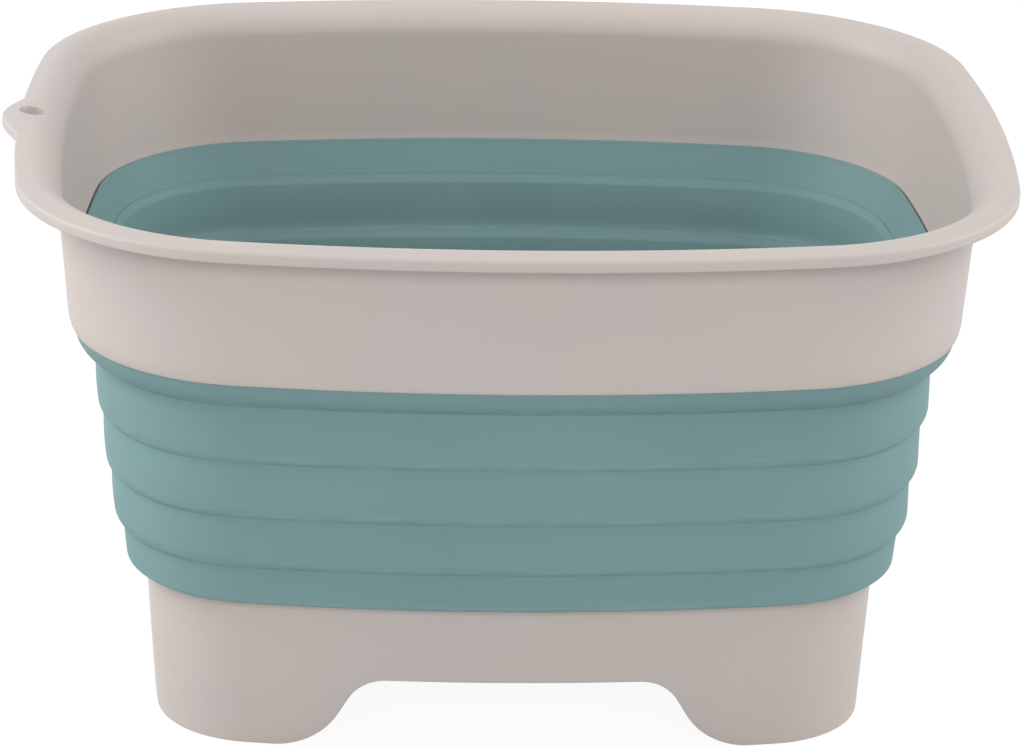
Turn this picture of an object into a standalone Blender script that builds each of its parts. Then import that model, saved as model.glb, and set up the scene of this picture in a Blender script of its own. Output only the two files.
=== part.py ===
# Collapsible camp washbasin with a rigid rim, a folding rubber wall and a base on four feet
#
# Lengths are in metres and +Z is up. The rim's outline is three arcs to the quarter, and every
# other level of the tub is that outline moved inwards by an inset, so all levels stay parallel.
import math

import bmesh
import bpy
from mathutils import Vector

# Outline of the rim, seen from above
RIM_LENGTH = 0.370
RIM_WIDTH = 0.327
LONG_SIDE_RADIUS = 0.7228
SHORT_SIDE_RADIUS = 0.7565
CORNER_RADIUS = 0.0894
LONG_SIDE_STEPS = 3
CORNER_STEPS = 8
SHORT_SIDE_STEPS = 3

# Heights of the pieces as they stack, from the rim's crown down to the ground
SHELL_HEIGHT = 0.0581
CUFF_HEIGHT = 0.0107
BAND_1_HEIGHT = 0.0228
BAND_2_HEIGHT = 0.0222
BAND_3_HEIGHT = 0.0206
BAND_4_HEIGHT = 0.0171
TRAY_DEPTH = 0.0215
FLOOR_CLEARANCE = 0.0087
ARCH_HEIGHT = 0.0283

# Walls and the gap that every pair of neighbours keeps
GAP = 0.0003
SHELL_WALL = 0.0022
BAND_WALL = 0.0018
BASE_WALL = 0.0024

# How far each piece stands in from the one above it, and the play of one band folded in the next
SHELL_INSET = 0.0151
SHELL_DRAFT = 0.0029
SHELL_TUCK = 0.0025
CUFF_STEP = 0.0081
BAND_1_PLAY = 0.00085
BAND_2_PLAY = 0.00105
BAND_3_PLAY = 0.0013
BAND_4_DRAFT = 0.0014
BAND_4_STEP = 0.0075
BASE_DRAFT = 0.0034

# Rolled rim of the upper shell
FLARE_RADIUS = 0.0080
FLARE_STEPS = 5
UNDER_FLARE_STEPS = 4
FLANGE_FALL = 0.0014
FLANGE_EDGE_RADIUS = 0.00135
FLANGE_EDGE_STEPS = 3
LIP_DEPTH = 0.00515
LIP_THICKNESS = 0.0020
LIP_ROUNDING = 0.0005
SHELL_TUCK_HEIGHT = 0.0094

# Hanging tab at the middle of one end of the rim
TAB_REACH = 0.0062
TAB_HALF_WIDTH = 0.025
TAB_ROOT = 0.0075
TAB_SINK = 0.0006
TAB_RISE = 0.0005
TAB_ROUNDING = 0.0012
TAB_ROUNDING_STEPS = 2
TAB_STEPS = 14
HANG_HOLE_DIAMETER = 0.0108
HANG_HOLE_INSET = 0.0052

# Rubber cuffs that grip the two rigid shells
UPPER_GRIP_HEIGHT = 0.0041
LOWER_GRIP_HEIGHT = 0.0085
CUFF_GRIP_THICKNESS = 0.0012
CUFF_GRIP_FOOT = 0.0010

# Folds at the foot of each band
FOLD_HEIGHT = 0.0056
LOW_FOLD_HEIGHT = 0.0037
FOLD_STEPS = 4
INNER_FOLD_STEPS = 2

# Base tray and the arches that leave four feet
FLOOR_THICKNESS = 0.0025
FLOOR_FILLET = 0.0120
FLOOR_FILLET_STEPS = 4
ARCH_LONG_FLAT = 0.0930
ARCH_SHORT_FLAT = 0.0480
ARCH_SLOPE = math.radians(60)
ARCH_TOP_SHARE = 0.57
ARCH_FOOT_SHARE = 0.99
ARCH_ARC_STEPS = 6

# Ribs under the floor
RIB_THICKNESS = 0.0018
RIB_CLEARANCE = 0.0004
RIB_SPACING = 0.0700

# Drain in the middle of the floor
DRAIN_HOLE_RADIUS = 0.0170
SUMP_MARGIN = 0.0041
SUMP_DEPTH = 0.0035
SEAT_WALL = 0.0027
SEAT_FLANGE_WIDTH = 0.0065
SEAT_FLANGE_THICKNESS = 0.0014
SEAT_LIP = 0.0012
SEAT_LIP_HEIGHT = 0.0016
PLUG_FLANGE_WIDTH = 0.0040
PLUG_FLANGE_THICKNESS = 0.0020
PLUG_TAPER = 0.0008
PLUG_BODY_DEPTH = 0.0100
PLUG_GRIP_LENGTH = 0.0220
PLUG_GRIP_WIDTH = 0.0042
PLUG_GRIP_HEIGHT = 0.0100
PLUG_GRIP_STEPS = 12
ROUND_STEPS = 40

# How far a cutter runs past what it cuts
OVERRUN = 0.0050

# Levels above the ground
floor_top = ARCH_HEIGHT + FLOOR_CLEARANCE
floor_foot = floor_top - FLOOR_THICKNESS
sump_floor = floor_top - SUMP_DEPTH
base_top = floor_top + TRAY_DEPTH
band_4_foot = base_top
band_3_foot = band_4_foot + BAND_4_HEIGHT
band_2_foot = band_3_foot + BAND_3_HEIGHT
band_1_foot = band_2_foot + BAND_2_HEIGHT
cuff_foot = band_1_foot + BAND_1_HEIGHT
shell_foot = cuff_foot + CUFF_HEIGHT
crown = shell_foot + SHELL_HEIGHT

# Insets of the outer faces
shell_low_inset = SHELL_INSET + SHELL_DRAFT
shell_edge_inset = shell_low_inset + SHELL_TUCK
band_1_inset = shell_edge_inset + CUFF_STEP
band_2_inset = band_1_inset + BAND_WALL + BAND_1_PLAY
band_3_inset = band_2_inset + BAND_WALL + BAND_2_PLAY
band_4_inset = band_3_inset + BAND_WALL + BAND_3_PLAY
base_inset = band_4_inset + BAND_4_DRAFT + BAND_4_STEP

# Radii of the drain's fitted pieces
seat_flange_radius = DRAIN_HOLE_RADIUS + SEAT_FLANGE_WIDTH
seat_bore_radius = DRAIN_HOLE_RADIUS - GAP - SEAT_WALL
plug_flange_radius = seat_bore_radius + PLUG_FLANGE_WIDTH
sump_radius = seat_flange_radius + SUMP_MARGIN

BEIGE = (0.480, 0.420, 0.395, 1.0)
TEAL = (0.162, 0.278, 0.285, 1.0)
GREY = (0.330, 0.300, 0.285, 1.0)


def clear_scene():
    for item in list(bpy.data.objects):
        bpy.data.objects.remove(item, do_unlink=True)


def make_material(name, colour, roughness):
    material = bpy.data.materials.new(name)
    material.use_nodes = True
    shader = material.node_tree.nodes["Principled BSDF"]
    shader.inputs["Base Color"].default_value = colour
    shader.inputs["Roughness"].default_value = roughness
    shader.inputs["Metallic"].default_value = 0.0
    return material


def make_object(name, bm, parent, material=None, smooth_angle=math.radians(35)):
    """Turns a bmesh into a named object under its parent; a guide has no material."""
    mesh = bpy.data.meshes.new(name)
    bmesh.ops.recalc_face_normals(bm, faces=bm.faces)
    bm.to_mesh(mesh)
    bm.free()
    mesh.shade_smooth()
    mesh.set_sharp_from_angle(angle=smooth_angle)
    item = bpy.data.objects.new(name, mesh)
    bpy.context.scene.collection.objects.link(item)
    item.parent = parent
    if material:
        mesh.materials.append(material)
    else:
        item.hide_render = True
        item.display_type = "WIRE"
    return item


def boolean(item, guide, operation):
    modifier = item.modifiers.new(guide.name, "BOOLEAN")
    modifier.operation = operation
    modifier.solver = "EXACT"
    modifier.object = guide


def outline_centres():
    """Centres of the long-side, corner and short-side arcs of the outline's first quarter."""
    long_centre = Vector((0, RIM_WIDTH / 2 - LONG_SIDE_RADIUS, 0))
    short_centre = Vector((RIM_LENGTH / 2 - SHORT_SIDE_RADIUS, 0, 0))
    to_long = LONG_SIDE_RADIUS - CORNER_RADIUS
    to_short = SHORT_SIDE_RADIUS - CORNER_RADIUS
    apart = (short_centre - long_centre).length
    along = (to_long**2 - to_short**2 + apart**2) / (2 * apart)
    across = math.sqrt(to_long**2 - along**2)
    direction = (short_centre - long_centre).normalized()
    square = Vector((-direction.y, direction.x, 0))
    sides = [long_centre + direction * along + square * across * sign for sign in (1, -1)]
    corner_centre = max(sides, key=lambda point: point.x + point.y)
    return long_centre, corner_centre, short_centre


def half_width(across, inset):
    """Distance from the length's centre line to the outline at one inset, within the long arc."""
    radius = LONG_SIDE_RADIUS - inset
    return RIM_WIDTH / 2 - LONG_SIDE_RADIUS + math.sqrt(radius**2 - across**2)


def arc(inset, height, inset_radius, height_radius, start, end, steps):
    """Points of an elliptic arc in a wall's section; angle 0 points inwards and 90 up."""
    points = []
    for step in range(steps + 1):
        angle = math.radians(start + (end - start) * step / steps)
        points.append((inset + inset_radius * math.cos(angle), height + height_radius * math.sin(angle)))
    return points


def sweep(section, closed=True):
    """Carries a section of inset and height round the outline, and closes what stays open."""
    bm = bmesh.new()
    verts = [bm.verts.new((0, RIM_WIDTH / 2 - inset, height)) for inset, height in section]
    pairs = list(zip(verts, verts[1:]))
    if closed:
        pairs.append((verts[-1], verts[0]))
    geometry = verts + [bm.edges.new(pair) for pair in pairs]
    long_centre, corner_centre, short_centre = outline_centres()
    to_corner = corner_centre - long_centre
    long_angle = math.atan2(to_corner.x, to_corner.y)
    from_short = corner_centre - short_centre
    short_angle = math.atan2(from_short.y, from_short.x)
    corner_angle = math.pi / 2 - long_angle - short_angle
    turns = (
        (long_centre, long_angle, LONG_SIDE_STEPS),
        (corner_centre, corner_angle, CORNER_STEPS),
        (short_centre, short_angle, SHORT_SIDE_STEPS),
    )
    for centre, angle, steps in turns:
        result = bmesh.ops.spin(
            bm, geom=geometry, cent=centre, axis=(0, 0, 1), angle=-angle, steps=steps, use_duplicate=False
        )
        geometry = result["geom_last"]
    for axis in ("X", "Y"):
        everything = bm.verts[:] + bm.edges[:] + bm.faces[:]
        bmesh.ops.mirror(bm, geom=everything, axis=axis, merge_dist=GAP / 10)
    bmesh.ops.remove_doubles(bm, verts=bm.verts, dist=GAP / 10)
    open_edges = [edge for edge in bm.edges if edge.is_boundary]
    if open_edges:
        bmesh.ops.holes_fill(bm, edges=open_edges, sides=0)
    return bm


def turned(profile):
    """Turns a closed profile of radius and height about the tub's centre line."""
    bm = bmesh.new()
    verts = [bm.verts.new((radius, 0, height)) for radius, height in profile]
    edges = [bm.edges.new(pair) for pair in zip(verts, verts[1:] + verts[:1])]
    bmesh.ops.spin(
        bm, geom=verts + edges, cent=(0, 0, 0), axis=(0, 0, 1), angle=math.tau, steps=ROUND_STEPS, use_merge=True
    )
    bmesh.ops.remove_doubles(bm, verts=bm.verts, dist=GAP / 10)
    loose = [edge for edge in bm.edges if not edge.link_faces]
    bmesh.ops.delete(bm, geom=loose, context="EDGES")
    return bm


def prism(outline, direction):
    """Extrudes a flat outline along a direction."""
    bm = bmesh.new()
    face = bm.faces.new([bm.verts.new(point) for point in outline])
    extruded = bmesh.ops.extrude_face_region(bm, geom=[face])
    moved = [piece for piece in extruded["geom"] if isinstance(piece, bmesh.types.BMVert)]
    bmesh.ops.translate(bm, verts=moved, vec=direction)
    return bm


def block(low, high):
    outline = [(low.x, low.y, low.z), (high.x, low.y, low.z), (high.x, high.y, low.z), (low.x, high.y, low.z)]
    return prism(outline, Vector((0, 0, high.z - low.z)))


def cylinder(radius, low, high):
    outline = []
    for step in range(ROUND_STEPS):
        angle = math.tau * step / ROUND_STEPS
        outline.append((radius * math.cos(angle), radius * math.sin(angle), low))
    return prism(outline, Vector((0, 0, high - low)))


def shell_section():
    """Upper shell: drafted wall, flare over the top, sloping flange and turned-down lip."""
    tuck_top = shell_foot + SHELL_TUCK_HEIGHT
    flare_inset = SHELL_INSET + SHELL_WALL - FLARE_RADIUS
    flare_height = crown - FLARE_RADIUS
    edge_height = crown - FLANGE_FALL - FLANGE_EDGE_RADIUS
    lip_foot = crown - LIP_DEPTH
    under_radius = FLARE_RADIUS - SHELL_WALL
    tuck_centre = shell_low_inset + SHELL_TUCK
    inner_tuck = arc(tuck_centre + SHELL_WALL, tuck_top, SHELL_TUCK, SHELL_TUCK_HEIGHT, 270, 180, FOLD_STEPS)
    outer_tuck = arc(tuck_centre, tuck_top, SHELL_TUCK, SHELL_TUCK_HEIGHT, 180, 270, FOLD_STEPS)
    section = inner_tuck
    section += arc(flare_inset, flare_height, FLARE_RADIUS, FLARE_RADIUS, 0, 90, FLARE_STEPS)
    edge_radius = FLANGE_EDGE_RADIUS
    section += arc(edge_radius, edge_height, edge_radius, edge_radius, 90, 180, FLANGE_EDGE_STEPS)
    section += [(0, lip_foot + LIP_ROUNDING), (LIP_ROUNDING, lip_foot)]
    section += [(LIP_THICKNESS - LIP_ROUNDING, lip_foot), (LIP_THICKNESS, lip_foot + LIP_ROUNDING)]
    section += [(LIP_THICKNESS, edge_height - LIP_THICKNESS / 2)]
    section += [(LIP_THICKNESS + edge_radius, edge_height - LIP_ROUNDING)]
    section += arc(flare_inset, flare_height, under_radius, under_radius, 90, 0, UNDER_FLARE_STEPS)
    section += outer_tuck
    return section


def tab_outline():
    """The tab's edge from above: a low bump that dies out into the rim on both sides."""
    points = []
    for step in range(TAB_STEPS + 1):
        share = 2 * step / TAB_STEPS - 1
        bulge = (TAB_REACH + TAB_SINK) * (1 - share**2) ** 1.5
        points.append((-(RIM_LENGTH / 2 - TAB_SINK + bulge), share * TAB_HALF_WIDTH))
    return points


def make_rim_shell(parent):
    material = make_material("rim_plastic", BEIGE, 0.42)
    shell = make_object("rim_shell", sweep(shell_section()), parent, material)
    tab_foot = crown - LIP_DEPTH + LIP_ROUNDING
    tab_top = crown - FLANGE_FALL + TAB_RISE
    root = -(RIM_LENGTH / 2 - TAB_ROOT)
    edge = tab_outline()
    outline = [(x, y, tab_foot) for x, y in edge]
    outline += [(root, TAB_HALF_WIDTH, tab_foot), (root, -TAB_HALF_WIDTH, tab_foot)]
    tab = prism(outline, Vector((0, 0, tab_top - tab_foot)))
    rounded = []
    for item in tab.edges:
        middle = (item.verts[0].co + item.verts[1].co) / 2
        level = abs(item.verts[0].co.z - item.verts[1].co.z) < GAP
        if level and middle.z > tab_top - GAP and middle.x < root - GAP:
            rounded.append(item)
    bmesh.ops.bevel(
        tab, geom=rounded, offset=TAB_ROUNDING, segments=TAB_ROUNDING_STEPS, profile=0.5, affect="EDGES"
    )
    boolean(shell, make_object("tab_guide", tab, parent), "UNION")
    hole = cylinder(HANG_HOLE_DIAMETER / 2, tab_foot - OVERRUN, crown + OVERRUN)
    bmesh.ops.translate(hole, verts=hole.verts, vec=(-(RIM_LENGTH / 2 - HANG_HOLE_INSET), 0, 0))
    boolean(shell, make_object("hang_hole_guide", hole, parent), "DIFFERENCE")


def make_upper_cuff(parent):
    """Rubber collar bonded to the shell's lower edge, which carries the first fold."""
    tuck_top = shell_foot + SHELL_TUCK_HEIGHT
    tuck_centre = shell_low_inset + SHELL_TUCK
    grip_top = shell_foot + UPPER_GRIP_HEIGHT

    def shell_inner(height):
        drop = min(max((tuck_top - height) / SHELL_TUCK_HEIGHT, 0), 1)
        return tuck_centre + SHELL_WALL - SHELL_TUCK * math.sqrt(1 - drop**2)

    under_shell = shell_foot - GAP
    start = shell_edge_inset + GAP
    fold_edge = band_1_inset - GAP
    section = arc(fold_edge, under_shell, fold_edge - start, under_shell - cuff_foot, 180, 270, FOLD_STEPS)
    inner_top = shell_inner(shell_foot) + GAP + CUFF_GRIP_THICKNESS
    inner_depth = under_shell - cuff_foot - BAND_WALL
    section += arc(fold_edge, under_shell, fold_edge - inner_top, inner_depth, 270, 180, FOLD_STEPS)
    half_grip = shell_foot + UPPER_GRIP_HEIGHT / 2
    section += [(shell_inner(half_grip) + GAP + CUFF_GRIP_THICKNESS, half_grip)]
    section += [(shell_inner(grip_top) + GAP + CUFF_GRIP_THICKNESS, grip_top)]
    section += [(shell_inner(height) + GAP, height) for height in (grip_top, half_grip, shell_foot)]
    section += [(shell_inner(shell_foot) + GAP, under_shell)]
    material = make_material("upper_cuff_rubber", TEAL, 0.55)
    make_object("upper_cuff", sweep(section), parent, material)


def make_wall_band(number, inset, draft, next_inset, foot, height, fold, parent):
    """One ring of the rubber wall: upright, then folded in at its foot to meet the next ring."""
    top = foot + height + BAND_WALL
    low_inset = inset + draft
    fold_edge = next_inset - GAP
    outer_reach = fold_edge - low_inset
    section = [(inset, top)]
    section += arc(fold_edge, foot + fold, outer_reach, fold, 180, 270, FOLD_STEPS)
    inner_reach = outer_reach - BAND_WALL
    section += arc(fold_edge, foot + fold + BAND_WALL, inner_reach, fold, 270, 180, INNER_FOLD_STEPS)
    section += [(inset + BAND_WALL, top)]
    name = "wall_band_" + str(number)
    make_object(name, sweep(section), parent, make_material(name + "_rubber", TEAL, 0.55))


def base_outer(height):
    """Inset of the base's outer face at one height."""
    return base_inset + BASE_DRAFT * (base_top - height) / base_top


def make_lower_cuff(parent):
    """Rubber collar hooked over the base's upper edge and bonded down its inside."""
    grip_foot = base_top - LOWER_GRIP_HEIGHT
    seat = base_outer(base_top) + BASE_WALL + GAP
    seat_foot = base_outer(grip_foot) + BASE_WALL + GAP
    top = base_top + BAND_WALL
    section = [
        (base_inset, base_top + GAP),
        (base_inset, top),
        (seat + CUFF_GRIP_THICKNESS, top),
        (seat_foot + CUFF_GRIP_THICKNESS, grip_foot + CUFF_GRIP_FOOT),
        (seat_foot, grip_foot),
        (seat, base_top + GAP),
    ]
    make_object("lower_cuff", sweep(section), parent, make_material("lower_cuff_rubber", TEAL, 0.55))


def arch_outline(flat):
    """Half of an arch from the flat's end to the foot, as distance and height."""
    top_radius = ARCH_TOP_SHARE * ARCH_HEIGHT
    foot_radius = ARCH_FOOT_SHARE * ARCH_HEIGHT
    points = []
    for step in range(ARCH_ARC_STEPS + 1):
        angle = ARCH_SLOPE * step / ARCH_ARC_STEPS
        along = flat / 2 + top_radius * math.sin(angle)
        points.append((along, ARCH_HEIGHT - top_radius * (1 - math.cos(angle))))
    straight = (points[-1][1] - foot_radius * (1 - math.cos(ARCH_SLOPE))) / math.sin(ARCH_SLOPE)
    foot_end = points[-1][0] + straight * math.cos(ARCH_SLOPE) + foot_radius * math.sin(ARCH_SLOPE)
    for step in range(ARCH_ARC_STEPS + 1):
        angle = ARCH_SLOPE * (1 - step / ARCH_ARC_STEPS)
        points.append((foot_end - foot_radius * math.sin(angle), foot_radius * (1 - math.cos(angle))))
    points.append((foot_end, -OVERRUN))
    return points


def arch_guide(name, flat, along_length, parent):
    half = arch_outline(flat)
    outline = [(-along, height) for along, height in reversed(half)] + half
    reach = RIM_LENGTH / 2
    if along_length:
        bm = prism([(along, -reach, height) for along, height in outline], Vector((0, 2 * reach, 0)))
    else:
        bm = prism([(-reach, along, height) for along, height in outline], Vector((2 * reach, 0, 0)))
    return make_object(name, bm, parent)


def make_base_shell(parent):
    """Tray with a flat floor; its wall runs on down as a skirt that the arches cut into four feet."""
    fillet = min(FLOOR_FILLET, TRAY_DEPTH - LOWER_GRIP_HEIGHT)
    fillet_top = floor_top + fillet
    fillet_centre = base_outer(fillet_top) + BASE_WALL + fillet
    section = arc(fillet_centre, fillet_top, fillet, fillet, 270, 180, FLOOR_FILLET_STEPS)
    section += [(base_outer(base_top) + BASE_WALL, base_top), (base_outer(base_top), base_top)]
    section += [(base_outer(0), 0), (base_outer(0) + BASE_WALL, 0)]
    section += [(base_outer(floor_foot) + BASE_WALL, floor_foot)]
    material = make_material("base_plastic", BEIGE, 0.42)
    base = make_object("base_shell", sweep(section, closed=False), parent, material)
    boolean(base, arch_guide("long_side_arch_guide", ARCH_LONG_FLAT, True, parent), "DIFFERENCE")
    boolean(base, arch_guide("short_side_arch_guide", ARCH_SHORT_FLAT, False, parent), "DIFFERENCE")
    rib_foot = ARCH_HEIGHT + RIB_CLEARANCE
    rib_top = floor_foot + FLOOR_THICKNESS / 2
    half_rib = RIB_THICKNESS / 2
    skirt = base_outer(rib_foot) + BASE_WALL / 2
    for number, place in enumerate((-RIB_SPACING, 0, RIB_SPACING), start=1):
        reach = half_width(place, skirt)
        low = Vector((place - half_rib, -reach, rib_foot))
        high = Vector((place + half_rib, reach, rib_top))
        guide = make_object("cross_rib_guide_" + str(number), block(low, high), parent)
        boolean(base, guide, "UNION")
    reach = RIM_LENGTH / 2 - skirt
    low = Vector((-reach, -half_rib, rib_foot))
    high = Vector((reach, half_rib, rib_top))
    boolean(base, make_object("long_rib_guide", block(low, high), parent), "UNION")
    boss = cylinder(sump_radius + BASE_WALL, rib_foot, rib_top)
    boolean(base, make_object("sump_boss_guide", boss, parent), "UNION")
    sump = cylinder(sump_radius, sump_floor, floor_top + OVERRUN)
    boolean(base, make_object("sump_guide", sump, parent), "DIFFERENCE")
    relief = cylinder(sump_radius, rib_foot - OVERRUN, sump_floor - BASE_WALL)
    boolean(base, make_object("sump_relief_guide", relief, parent), "DIFFERENCE")
    hole = cylinder(DRAIN_HOLE_RADIUS, rib_foot - OVERRUN, floor_top + OVERRUN)
    boolean(base, make_object("drain_hole_guide", hole, parent), "DIFFERENCE")


def make_drain_seat(parent):
    """Rubber ring snapped into the drain hole, with a flange above and a lip below the floor."""
    flange_foot = sump_floor + GAP
    flange_top = flange_foot + SEAT_FLANGE_THICKNESS
    neck = DRAIN_HOLE_RADIUS - GAP
    lip_top = sump_floor - BASE_WALL - GAP
    lip_foot = lip_top - SEAT_LIP_HEIGHT
    profile = [
        (seat_bore_radius, flange_top),
        (seat_bore_radius, lip_foot),
        (neck, lip_foot),
        (neck + SEAT_LIP, lip_top - SEAT_LIP_HEIGHT / 2),
        (neck + SEAT_LIP, lip_top),
        (neck, lip_top),
        (neck, flange_foot),
        (seat_flange_radius, flange_foot),
        (seat_flange_radius, flange_top - SEAT_FLANGE_THICKNESS / 2),
        (seat_flange_radius - SEAT_FLANGE_THICKNESS / 2, flange_top),
    ]
    make_object("drain_seat", turned(profile), parent, make_material("drain_seat_rubber", TEAL, 0.55))


def make_drain_plug(parent):
    """Stopper with a tapered body, a flange that rests on the seat and a finger grip."""
    rest = sump_floor + GAP + SEAT_FLANGE_THICKNESS + GAP
    flange_top = rest + PLUG_FLANGE_THICKNESS
    body = seat_bore_radius - GAP
    profile = [
        (0, flange_top),
        (0, rest - PLUG_BODY_DEPTH),
        (body - PLUG_TAPER, rest - PLUG_BODY_DEPTH),
        (body, rest),
        (plug_flange_radius, rest),
        (plug_flange_radius, rest + PLUG_FLANGE_THICKNESS / 2),
        (plug_flange_radius - PLUG_FLANGE_THICKNESS / 2, flange_top),
    ]
    plug = make_object("drain_plug", turned(profile), parent, make_material("plug_plastic", GREY, 0.45))
    half_grip = PLUG_GRIP_LENGTH / 2
    crest = PLUG_GRIP_HEIGHT / 2
    outline = [(-half_grip, rest + PLUG_FLANGE_THICKNESS / 2)]
    for step in range(PLUG_GRIP_STEPS + 1):
        angle = math.pi * (1 - step / PLUG_GRIP_STEPS)
        outline.append((half_grip * math.cos(angle), flange_top + crest + crest * math.sin(angle)))
    outline.append((half_grip, rest + PLUG_FLANGE_THICKNESS / 2))
    sides = [(along, -PLUG_GRIP_WIDTH / 2, height) for along, height in outline]
    grip = prism(sides, Vector((0, PLUG_GRIP_WIDTH, 0)))
    boolean(plug, make_object("plug_grip_guide", grip, parent), "UNION")


def main():
    clear_scene()
    # The tab lengthens one end, so the tub's centre line stands off the middle of the whole
    axis = bpy.data.objects.new("tub_axis", None)
    bpy.context.scene.collection.objects.link(axis)
    axis.location = (TAB_REACH / 2, 0, 0)
    make_rim_shell(axis)
    make_upper_cuff(axis)
    bands = (
        (1, band_1_inset, 0, band_2_inset, band_1_foot, BAND_1_HEIGHT, FOLD_HEIGHT),
        (2, band_2_inset, 0, band_3_inset, band_2_foot, BAND_2_HEIGHT, FOLD_HEIGHT),
        (3, band_3_inset, 0, band_4_inset, band_3_foot, BAND_3_HEIGHT, FOLD_HEIGHT),
        (4, band_4_inset, BAND_4_DRAFT, base_inset, band_4_foot, BAND_4_HEIGHT, LOW_FOLD_HEIGHT),
    )
    for band in bands:
        make_wall_band(*band, axis)
    make_lower_cuff(axis)
    make_base_shell(axis)
    make_drain_seat(axis)
    make_drain_plug(axis)


main()
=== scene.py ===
# Looks of a collapsible camp washbasin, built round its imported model
#
# Everything is in metres in the model's own frame: +Z up, the ground at 0, the hanging tab towards -X.
import math

import bpy
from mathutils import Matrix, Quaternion, Vector


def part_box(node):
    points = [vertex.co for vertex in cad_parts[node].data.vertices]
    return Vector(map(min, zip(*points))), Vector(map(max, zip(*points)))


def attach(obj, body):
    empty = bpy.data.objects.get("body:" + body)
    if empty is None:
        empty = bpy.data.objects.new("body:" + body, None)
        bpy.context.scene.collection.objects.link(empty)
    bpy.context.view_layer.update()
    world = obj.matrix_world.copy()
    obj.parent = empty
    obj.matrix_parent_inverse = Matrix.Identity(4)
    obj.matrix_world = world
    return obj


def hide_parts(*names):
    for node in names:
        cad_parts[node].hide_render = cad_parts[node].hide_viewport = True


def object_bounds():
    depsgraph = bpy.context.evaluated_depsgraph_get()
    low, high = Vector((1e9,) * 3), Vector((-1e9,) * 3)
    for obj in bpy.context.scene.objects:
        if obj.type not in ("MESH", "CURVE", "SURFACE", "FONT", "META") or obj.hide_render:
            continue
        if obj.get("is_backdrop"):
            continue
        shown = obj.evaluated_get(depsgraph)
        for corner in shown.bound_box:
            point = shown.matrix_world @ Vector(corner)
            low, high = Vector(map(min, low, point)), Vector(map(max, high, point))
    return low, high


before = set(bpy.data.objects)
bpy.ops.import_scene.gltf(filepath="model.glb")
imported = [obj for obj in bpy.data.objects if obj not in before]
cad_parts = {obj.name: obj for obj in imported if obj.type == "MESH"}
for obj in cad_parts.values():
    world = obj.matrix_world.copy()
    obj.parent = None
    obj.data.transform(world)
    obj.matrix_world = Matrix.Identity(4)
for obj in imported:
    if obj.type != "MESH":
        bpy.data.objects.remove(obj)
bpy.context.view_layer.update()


# Rim shell
# One stiff moulding of beige polypropylene: a drafted wall that flares over at the top into a sloping
# flange with a turned-down lip. At one end the edge swells into a tab with a hole to hang the bowl by.
RIM_LENGTH = 0.370
LONG_SIDE_RADIUS = 0.7228
SHORT_SIDE_RADIUS = 0.7565
CORNER_RADIUS = 0.0894
SHELL_INSET = 0.0151
SHELL_LOW_INSET = 0.0180
SHELL_EDGE_INSET = 0.0205
SHELL_WALL = 0.0022
SHELL_TUCK_HEIGHT = 0.0094
TUCK_END_ANGLE = 262
SHELL_EDGE_ROUNDING = 0.0005
EDGE_START_ANGLE = 200
EDGE_END_ANGLE = 340
FLARE_RADIUS = 0.0120
FLANGE_FALL = 0.0014
FLANGE_EDGE_RADIUS = 0.00135
LIP_DEPTH = 0.00580
LIP_THICKNESS = 0.0020
LIP_ROUNDING = 0.0007
RIM_WEAR_DEPTH = 0.0012
TAB_REACH = 0.0062
TAB_HALF_WIDTH = 0.0225
TAB_FULLNESS = 1.5
TAB_FULL_INSET = 0.0030
TAB_END_INSET = 0.0100
TAB_LIFT = 0.0007
HANG_HOLE_RADIUS = 0.0050
HANG_HOLE_INSET = 0.0052
HANG_HOLE_ROUNDING = 0.0007
HANG_HOLE_WALL = 0.0016
HANG_HOLE_CUT_DEPTH = 0.0348
MOUTH_EDGE_RISE = 0.00073
MOUTH_STEPS = 3
SIDE_STEPS = 22
CORNER_STEPS = 34
TAB_SIDE_STEPS = 64
TUCK_STEPS = 10
FLARE_STEPS = 16
UNDER_FLARE_STEPS = 12
EDGE_STEPS = 6
LIP_STEPS = 4
ROUND_STEPS = 96
MERGE_GAP = 0.000011
MIRROR_MERGE_GAP = 0.000044
NEAR_GAP = 0.00002
SMOOTH_ANGLE = 40
INWARDS, UP, OUTWARDS, DOWN, FULL_TURN = 0, 90, 180, 270, 360

rim_low, rim_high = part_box("rim_shell")
crown = rim_high.z
shell_foot = rim_low.z
half_width = rim_high.y
tub_x = rim_high.x - RIM_LENGTH / 2


def outline_turns(long_steps, corner_steps, short_steps):
    """Centre, angle and steps of the outline's long-side, corner and short-side arcs, seen from above."""
    long_centre = Vector((tub_x, half_width - LONG_SIDE_RADIUS, 0))
    short_centre = Vector((tub_x + RIM_LENGTH / 2 - SHORT_SIDE_RADIUS, 0, 0))
    to_long = LONG_SIDE_RADIUS - CORNER_RADIUS
    to_short = SHORT_SIDE_RADIUS - CORNER_RADIUS
    apart = (short_centre - long_centre).length
    along = (to_long**2 - to_short**2 + apart**2) / (2 * apart)
    direction = (short_centre - long_centre).normalized()
    square = Vector((-direction.y, direction.x, 0)) * math.sqrt(to_long**2 - along**2)
    sides = [long_centre + direction * along + square * sign for sign in (1, -1)]
    corner_centre = max(sides, key=lambda point: point.x + point.y)
    to_corner = corner_centre - long_centre
    long_angle = math.atan2(to_corner.x, to_corner.y)
    from_short = corner_centre - short_centre
    short_angle = math.atan2(from_short.y, from_short.x)
    corner_angle = math.pi / 2 - long_angle - short_angle
    return (
        (long_centre, long_angle, long_steps),
        (corner_centre, corner_angle, corner_steps),
        (short_centre, short_angle, short_steps),
    )


def arc(inset, height, inset_radius, height_radius, start, end, steps):
    """Points of an elliptic arc in a wall's section; angle 0 points inwards and 90 up."""
    points = []
    for step in range(steps + 1):
        angle = math.radians(start + (end - start) * step / steps)
        points.append((inset + inset_radius * math.cos(angle), height + height_radius * math.sin(angle)))
    return points


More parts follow.
